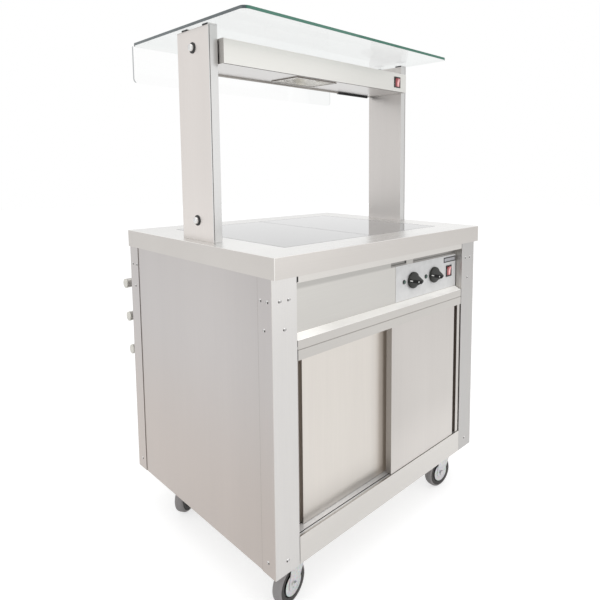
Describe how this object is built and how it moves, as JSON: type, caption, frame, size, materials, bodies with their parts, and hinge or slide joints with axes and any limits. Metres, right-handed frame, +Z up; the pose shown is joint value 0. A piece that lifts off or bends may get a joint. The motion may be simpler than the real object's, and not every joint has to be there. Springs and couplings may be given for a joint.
{
  "type": "hot cupboard",
  "caption": "Mobile heated cupboard with two sliding doors, a flat glass-ceramic hot top, a lamp gantry with a glass screen, a fold-down tray slide and swivel castors",
  "frame": {"origin": "On the floor, under the middle of the object's box with the tray slide folded down", "axes": "X runs along the front, from the blank end of the fascia to the controls; Y from the doors to the tray slide; Z up"},
  "size_m": [0.86, 0.8138, 1.468],
  "materials": {
    "steel": "brushed",
    "polished_steel": "polished",
    "zinc": "zinc plated",
    "ceramic_glass": "dark glass-ceramic",
    "clear_glass": "clear float glass",
    "black_plastic": "moulded",
    "red_lens": "lit lens",
    "green_lens": "lit lens",
    "label": "satin, bare",
    "white_plastic": "moulded",
    "insulation": "mineral wool",
    "element": "oxidised sheath",
    "grey_rubber": "grey tread",
    "black_rubber": "pad"
  },
  "bodies": {
    "cabinet": {"worktop": "steel", "hot_plate_left": "ceramic_glass", "hot_plate_right": "ceramic_glass", "hot_top_pan": "steel", "hot_top_elements": "element", "front_legs": "steel", "rear_legs": "steel", "side_panel_left": "steel", "side_panel_right": "steel", "back_panel": "steel", "base_pan": "steel", "plinth_rail": "steel", "head_rail": "steel", "control_ledge": "steel", "top_rail": "steel", "fascia_panel": "steel", "control_plate": "label", "thermostats": "black_plastic", "pilot_lamps": "green_lens", "switch_bodies": "black_plastic", "cable_gland": "black_plastic", "terminal_block": "white_plastic", "cupboard_liner": "steel", "insulation": "insulation", "cupboard_element": "element", "element_cover": "steel", "shelf": "steel", "door_tracks": "steel", "castor_plates": "zinc", "post_left": "steel", "post_right": "steel", "post_fixings": "polished_steel", "lamp_housing": "steel", "reflector_panel": "polished_steel", "heat_lamp": "white_plastic", "lamp_frame": "steel", "glass_top": "clear_glass", "glass_back": "clear_glass", "glass_pads": "black_rubber", "rivets": "polished_steel", "slide_brackets": "steel"},
    "castor_fl_swivel": {"castor_fl_fork": "zinc"},
    "castor_fl_roller": {"castor_fl_wheel": "grey_rubber"},
    "castor_fr_swivel": {"castor_fr_fork": "zinc"},
    "castor_fr_roller": {"castor_fr_wheel": "grey_rubber"},
    "castor_rl_swivel": {"castor_rl_fork": "zinc"},
    "castor_rl_roller": {"castor_rl_wheel": "grey_rubber"},
    "castor_rr_swivel": {"castor_rr_fork": "zinc"},
    "castor_rr_roller": {"castor_rr_wheel": "grey_rubber"},
    "left_door": {"door_left": "steel", "door_left_back": "steel"},
    "right_door": {"door_right": "steel", "door_right_back": "steel"},
    "hot_top_knob": {"knob_hot_top": "black_plastic"},
    "cupboard_knob": {"knob_cupboard": "black_plastic"},
    "main_switch": {"main_rocker": "red_lens"},
    "lamp_switch": {"lamp_rocker": "red_lens"},
    "tray_slide": {"slide_arms": "steel", "slide_tubes": "steel", "slide_caps": "white_plastic"}
  },
  "joints": [
    {"name": "castor_fl_turn", "type": "hinge", "parent": "cabinet", "child": "castor_fl_swivel", "pos_m": [-0.3306, -0.33794, 0.11], "axis": [0, 0, 1], "continuous": true},
    {"name": "castor_fl_roll", "type": "hinge", "parent": "castor_fl_swivel", "child": "castor_fl_roller", "pos_m": [-0.35028, -0.34148, 0.05], "axis": [-0.1771, 0.9842, 0], "continuous": true},
    {"name": "castor_fr_turn", "type": "hinge", "parent": "cabinet", "child": "castor_fr_swivel", "pos_m": [0.3306, -0.33794, 0.11], "axis": [0, 0, 1], "continuous": true},
    {"name": "castor_fr_roll", "type": "hinge", "parent": "castor_fr_swivel", "child": "castor_fr_roller", "pos_m": [0.31073, -0.33568, 0.05], "axis": [0.1132, 0.9936, 0], "continuous": true},
    {"name": "castor_rl_turn", "type": "hinge", "parent": "cabinet", "child": "castor_rl_swivel", "pos_m": [-0.3306, 0.18706, 0.11], "axis": [0, 0, 1], "continuous": true},
    {"name": "castor_rl_roll", "type": "hinge", "parent": "castor_rl_swivel", "child": "castor_rl_roller", "pos_m": [-0.34792, 0.17706, 0.05], "axis": [-0.5, 0.866, 0], "continuous": true},
    {"name": "castor_rr_turn", "type": "hinge", "parent": "cabinet", "child": "castor_rr_swivel", "pos_m": [0.3306, 0.18706, 0.11], "axis": [0, 0, 1], "continuous": true},
    {"name": "castor_rr_roll", "type": "hinge", "parent": "castor_rr_swivel", "child": "castor_rr_roller", "pos_m": [0.31104, 0.1829, 0.05], "axis": [-0.2079, 0.9781, 0], "continuous": true},
    {"name": "left_door_slide", "type": "slide", "parent": "cabinet", "child": "left_door", "axis": [1, 0, 0], "range_m": [0, 0.335]},
    {"name": "right_door_slide", "type": "slide", "parent": "cabinet", "child": "right_door", "axis": [1, 0, 0], "range_m": [-0.335, 0]},
    {"name": "hot_top_knob_turn", "type": "hinge", "parent": "cabinet", "child": "hot_top_knob", "pos_m": [0.117, -0.38394, 0.758], "axis": [0, 1, 0], "range_deg": [0, 270]},
    {"name": "cupboard_knob_turn", "type": "hinge", "parent": "cabinet", "child": "cupboard_knob", "pos_m": [0.226, -0.38394, 0.758], "axis": [0, 1, 0], "range_deg": [0, 270]},
    {"name": "main_switch_tilt", "type": "hinge", "parent": "cabinet", "child": "main_switch", "pos_m": [0.311, -0.36574, 0.758], "axis": [1, 0, 0], "range_deg": [-16, 0]},
    {"name": "lamp_switch_tilt", "type": "hinge", "parent": "cabinet", "child": "lamp_switch", "pos_m": [0.322, -0.13294, 1.3925], "axis": [1, 0, 0], "range_deg": [-16, 0]},
    {"name": "tray_slide_lift", "type": "hinge", "parent": "cabinet", "child": "tray_slide", "pos_m": [0, 0.35606, 0.815], "axis": [1, 0, 0], "range_deg": [0, 97.5]}
  ]
}
